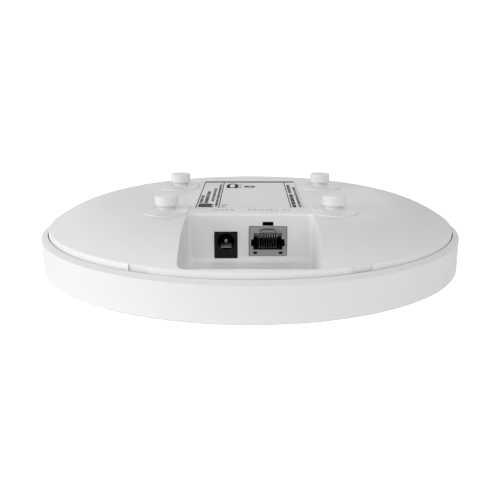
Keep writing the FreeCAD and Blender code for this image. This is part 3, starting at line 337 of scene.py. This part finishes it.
def refined(node, width):
    """Makes a copy of a CAD node with its sharp edges rounded by width, which stands for the node."""
    bm = bmesh.new()
    bm.from_mesh(NODES[node].data)
    bmesh.ops.remove_doubles(bm, verts=bm.verts, dist=1e-7)
    bmesh.ops.dissolve_limit(bm, angle_limit=math.radians(0.05), verts=bm.verts, edges=bm.edges)
    sharp = [edge for edge in bm.edges
             if edge.is_manifold and edge.calc_face_angle() > math.radians(ROUND_FROM)]
    bevelled(bm, sharp, width)
    while bm.loops.layers.float_vector:
        bm.loops.layers.float_vector.remove(bm.loops.layers.float_vector[0])
    item = made(node + "_detailed", bm, NODES[node].material_slots[0].material,
                body_holding(node))
    if item.data.attributes.get("custom_normal"):
        item.data.attributes.remove(item.data.attributes["custom_normal"])
    smooth = item.modifiers.new("even_shading", "WEIGHTED_NORMAL")
    smooth.keep_sharp = True
    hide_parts(node)


def slab(bm, low, high):
    """Adds a block between two corners, in millimetres."""
    corners = []
    for z in (low[2], high[2]):
        for x, y in ((low[0], low[1]), (high[0], low[1]), (high[0], high[1]), (low[0], high[1])):
            corners.append(bm.verts.new(Vector((x, y, z)) * MM))
    for face in ((3, 2, 1, 0), (4, 5, 6, 7), (0, 1, 5, 4), (1, 2, 6, 5), (2, 3, 7, 6), (3, 0, 4, 7)):
        bm.faces.new([corners[index] for index in face])


def hoop(bm, x, y, across, along, line, low, high):
    """Adds a flat printed ring, in millimetres, with outer half sizes across (X) and along (Y)."""
    around = 40
    loops = []
    for z in (low, high):
        for inset in (0.0, line):
            loop = []
            for step in range(around):
                turn = 2 * math.pi * step / around
                place = (x + (across - inset) * math.cos(turn), y + (along - inset) * math.sin(turn), z)
                loop.append(bm.verts.new(Vector(place) * MM))
            loops.append(loop)
    for first, second in ((0, 2), (2, 3), (3, 1), (1, 0)):
        for step in range(around):
            after = (step + 1) % around
            bm.faces.new((loops[first][step], loops[first][after],
                          loops[second][after], loops[second][step]))


def dashes(bm, left, right, near, far, low, high, along="Y", long=2.6, gap=0.6):
    """Fills a strip with dashes of uneven length, in place of a line of small print."""
    start, end = (near, far) if along == "Y" else (left, right)
    while start < end - 0.4:
        stop = min(end, start + DRAW.uniform(0.35 * long, long))
        thin = DRAW.uniform(0.0, 0.1)
        if along == "Y":
            slab(bm, (left + thin, start, low), (right - thin, stop, high))
        else:
            slab(bm, (start, near + thin, low), (stop, far - thin, high))
        start = stop + gap * DRAW.uniform(0.7, 1.5)


# ---------------------------------------------------------------- print on the label and the cover

DRAW = random.Random(7)
INK_OVER, INK_UNDER = 0.02, 0.03   # how far print stands over its surface and reaches under it
LABEL_LOW, LABEL_HIGH = (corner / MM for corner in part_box("rating_label"))
INK_TOP = LABEL_HIGH[2] + INK_OVER
INK_LOW = LABEL_HIGH[2] - INK_UNDER


def label_print():
    """The label's frame lines, columns of dashes, plain rings and a block of stripes."""
    far, near = LABEL_HIGH[1] - 0.15, LABEL_LOW[1] + 0.3
    left, right = LABEL_LOW[0] + 0.35, LABEL_HIGH[0] - 0.5
    bm = bmesh.new()
    slab(bm, (left, far - 3.4, INK_LOW), (right - 0.7, far, INK_TOP))
    for x in (left + 0.15, left + 10.0, right - 5.7):
        slab(bm, (x - 0.21, near, INK_LOW), (x + 0.21, far - 3.4, INK_TOP))
    # across from the left frame line, along from the near edge, and the longest dash
    columns = [
        (0.8, 2.3, 10.8, 29.6, 2.4), (3.0, 4.7, 10.8, 41.0, 2.8), (5.9, 7.3, 14.8, 49.8, 2.2),
        (8.1, 9.3, 2.8, 62.0, 2.4), (42.0, 43.8, 0.8, 33.0, 3.4), (42.0, 43.6, 36.5, 60.0, 3.0),
        (44.7, 46.0, 1.4, 54.0, 2.2),
    ]
    for start, end, low, high, long in columns:
        dashes(bm, left + start, left + end, near + low, near + high, INK_LOW, INK_TOP, long=long)
    for stripe in range(4):
        y = near + 1.2 + 2.1 * stripe
        slab(bm, (left + 0.9, y, INK_LOW), (left + 7.6 - 0.9 * (stripe % 2), y + 1.8, INK_TOP))
    for stripe in range(3):
        y = near + 1.0 + 2.7 * stripe
        dashes(bm, left + 11.2, left + 13.6, y, y + 1.2, INK_LOW, INK_TOP, along="X", long=0.9, gap=0.4)
    hoop(bm, left + 14.6, near + 57.6, 2.9, 6.8, 1.5, INK_LOW, INK_TOP)
    for side in (-1, 1):
        slab(bm, (left + 14.6 + side * 2.0 - 0.8, near + 50.6, INK_LOW),
             (left + 14.6 + side * 2.0 + 0.8, near + 54.6, INK_TOP))
    for row in range(4):
        dashes(bm, left + 17.4, left + 19.4, near + 51.6 + 3.0 * row, near + 52.8 + 3.0 * row,
               INK_LOW, INK_TOP, along="X", long=1.0, gap=0.35)
    hoop(bm, left + 23.3, near + 54.9, 2.9, 3.2, 1.3, INK_LOW, INK_TOP)
    slab(bm, (left + 21.8, near + 54.4, INK_LOW), (left + 24.8, near + 55.4, INK_TOP))
    made("label_print", bm, INK, body_holding("rating_label"))

    bm = bmesh.new()
    slab(bm, (right - 0.5, near, INK_LOW), (right - 0.25, far, INK_TOP))
    made("label_print_pale", bm, PALE_INK, body_holding("rating_label"))


def port_captions():
    """Pale dashes printed on the cover above the port bay, one group over each port."""
    inlet = [corner[0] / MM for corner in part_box("dc_jack_housing")]
    network = [corner[0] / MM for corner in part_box("rj45_shield")]
    near, far = LABEL_LOW[1] - 5.0, LABEL_LOW[1] - 3.2
    cover_top = LABEL_LOW[2]
    bm = bmesh.new()
    for left, right in ((inlet[0] - 0.7, inlet[1] - 1.3), (network[0] - 0.6, network[1] - 2.8),
                        (network[1] - 1.2, network[1] + 2.0)):
        dashes(bm, left, right, near, far, cover_top - INK_UNDER, cover_top + INK_OVER,
               along="X", long=1.9)
    made("port_captions", bm, PALE_INK, body_holding("rear_cover"))


def port_details():
    """The network port's shelf in the latch step, and the tab that stands on its shield."""
    low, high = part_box("rj45_shield")
    middle, front, top = (low[0] + high[0]) / 2 / MM, low[1] / MM, high[2] / MM
    bm = bmesh.new()
    slab(bm, (middle - 3.3, front + 0.7, top - 2.65), (middle + 3.3, front + 1.4, top - 1.55))
    bevelled(bm, bm.edges[:], 0.12 * MM)
    made("rj45_insert_shelf", bm, SHELF_PLASTIC, body_holding("rj45_insert"))

    bm = bmesh.new()
    slab(bm, (middle - 2.3, front + 0.03, top - 0.3), (middle + 2.3, front + 0.33, top + 0.62))
    bevelled(bm, bm.edges[:], 0.06 * MM)
    made("rj45_shield_tab", bm, MATERIALS["shield_steel"], body_holding("rj45_shield"))


label_print()
port_captions()
port_details()

# how far each of these nodes' edges are rounded, in millimetres
ROUNDED = {
    "dc_jack_housing": 0.06, "rj45_shield": 0.08, "rj45_insert": 0.08, "rj45_contacts": 0.05,
    "dc_leaf_contact": 0.06, "rating_label": 0.04, "reset_plunger": 0.1, "light_guide": 0.15,
}
for node, width in ROUNDED.items():
    refined(node, width * MM)


# ---------------------------------------------------------------- studio

def bowl(name, drop):
    """A disc that turns up into a low wall far from the object, lowered by drop."""
    bm = bmesh.new()
    profile = [(0.3, 0.0), (1.2, 0.0), (2.6, 0.0), (3.0, 0.05), (3.3, 0.2), (3.5, 0.5), (3.6, 1.6)]
    rings = []
    around = 96
    for radius, height in profile:
        ring = []
        for step in range(around):
            turn = 2 * math.pi * step / around
            ring.append(bm.verts.new((radius * math.cos(turn), radius * math.sin(turn), height - drop)))
        rings.append(ring)
    bm.faces.new(rings[0])
    for low, high in zip(rings, rings[1:]):
        for step in range(around):
            after = (step + 1) % around
            bm.faces.new((low[step], high[step], high[after], low[after]))
    mesh = bpy.data.meshes.new(name)
    bm.to_mesh(mesh)
    bm.free()
    mesh.shade_smooth()
    item = bpy.data.objects.new(name, mesh)
    bpy.context.scene.collection.objects.link(item)
    return item


def paper(name, glow):
    """White studio paper with a faint mottle, which gives off glow of its own light."""
    s = Shader(name)
    mottle = s.noise(60.0, 3.0)
    s.set(Base_Color=s.mix(mottle, (0.86, 0.86, 0.86), (0.88, 0.88, 0.88)), Roughness=0.9)
    s.surface.inputs["Emission Color"].default_value = (1.0, 1.0, 1.0, 1.0)
    s.surface.inputs["Emission Strength"].default_value = glow
    return s.material


def studio_floor():
    """The floor that lights the object from below, and the burnt-out white one that the camera sees."""
    lit = bowl("Studio_floor", 0.0)
    lit.data.materials.append(paper("studio_paper", FLOOR_GLOW))
    lit.visible_camera = False
    seen = bowl("Studio_backdrop", 0.0004)
    seen.data.materials.append(paper("backdrop_paper", BACKDROP_GLOW))
    seen.visible_diffuse = False
    seen.visible_glossy = False
    seen.visible_transmission = False
    seen.visible_shadow = False


def softbox(name, place, width, height, watts):
    lamp = bpy.data.lights.new(name, "AREA")
    lamp.shape = "RECTANGLE"
    lamp.size = width
    lamp.size_y = height
    lamp.energy = watts
    item = bpy.data.objects.new(name, lamp)
    item.location = place
    item.rotation_mode = "QUATERNION"
    item.rotation_quaternion = (Vector(LIGHTS_AIM) - Vector(place)).to_track_quat("-Z", "Y")
    bpy.context.scene.collection.objects.link(item)


FLOOR_GLOW = 0.161
BACKDROP_GLOW = 1.0
WORLD_LEVEL = 0.297
LIGHTS_AIM = (0.0, 0.0, 0.02)
# name, place, width, height, watts
LIGHTS = [
    ("Key_low_left", (-1.10, -0.30, 0.30), 0.9, 0.5, 6.2),
    ("Front_high", (-0.10, -0.95, 0.85), 1.2, 0.7, 4.76),
    ("Fill_high_right", (0.80, -0.35, 0.90), 0.8, 0.6, 2.67),
    ("Rim_back", (-0.2, 1.20, 0.45), 1.2, 0.5, 1.87),
]
CAMERA_PLACE = (0.0, -0.3215, 0.0866)
CAMERA_DOWN = 14.68   # degrees below level
CAMERA_LEFT = 0.02    # degrees to the left

studio_floor()
for row in LIGHTS:
    softbox(*row)
world = bpy.data.worlds.new("Studio")
world.use_nodes = True
world.node_tree.nodes["Background"].inputs["Color"].default_value = (1.0, 1.0, 1.0, 1.0)
world.node_tree.nodes["Background"].inputs["Strength"].default_value = WORLD_LEVEL
bpy.context.scene.world = world
bpy.context.scene.view_settings.view_transform = "Standard"

camera = bpy.data.cameras.new("Camera")
camera.lens = 50.0
camera.sensor_width = 36.0
camera.clip_start = 0.01
camera.clip_end = 20.0
holder = bpy.data.objects.new("Camera", camera)
holder.location = CAMERA_PLACE
holder.rotation_euler = (math.radians(90.0 - CAMERA_DOWN), 0.0, math.radians(CAMERA_LEFT))
bpy.context.scene.collection.objects.link(holder)
bpy.context.scene.camera = holder
